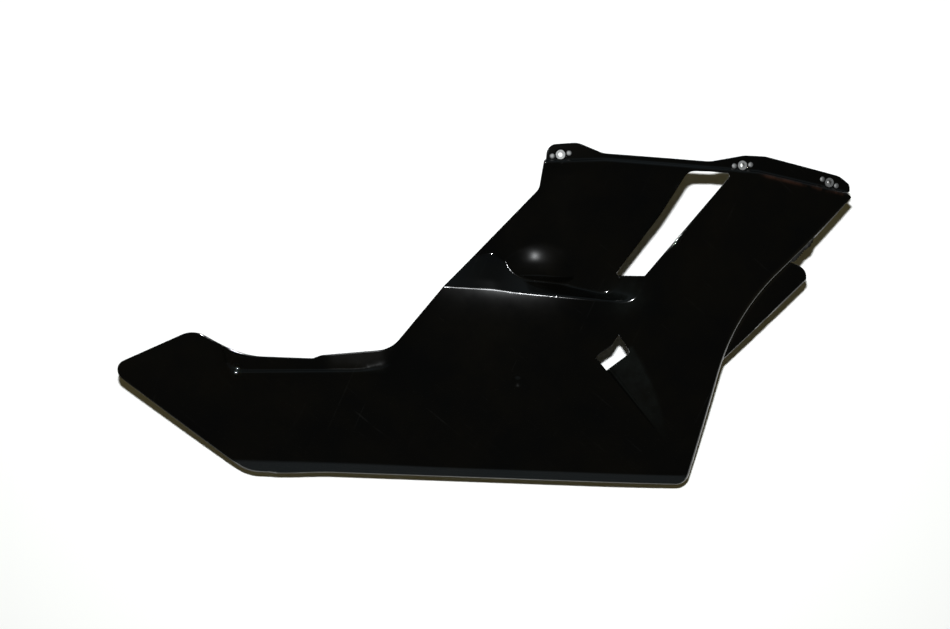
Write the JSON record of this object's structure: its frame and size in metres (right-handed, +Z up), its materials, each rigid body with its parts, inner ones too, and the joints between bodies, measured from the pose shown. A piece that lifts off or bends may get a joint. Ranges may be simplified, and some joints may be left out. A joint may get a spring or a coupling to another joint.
{
  "type": "motorcycle belly pan",
  "caption": "Moulded side half of a motorcycle belly pan: crowned gloss shell, recessed vented panel, scoop inlet, folded returns and quarter-turn receptacles along its top flange.",
  "frame": {"origin": "axis of the middle receptacle's bore, on the outer face of the top flange", "axes": "+X towards the front of the motorcycle, +Z up as it is fitted, outer face towards -Y"},
  "size_m": [0.8036, 0.1348, 0.3779],
  "materials": {
    "shell": "gloss black, dusty, with fine scuffs",
    "receptacle": "zinc plated, dulled"
  },
  "bodies": {
    "root": {"belly_pan_shell": "shell", "receptacles": "receptacle"}
  },
  "joints": []
}
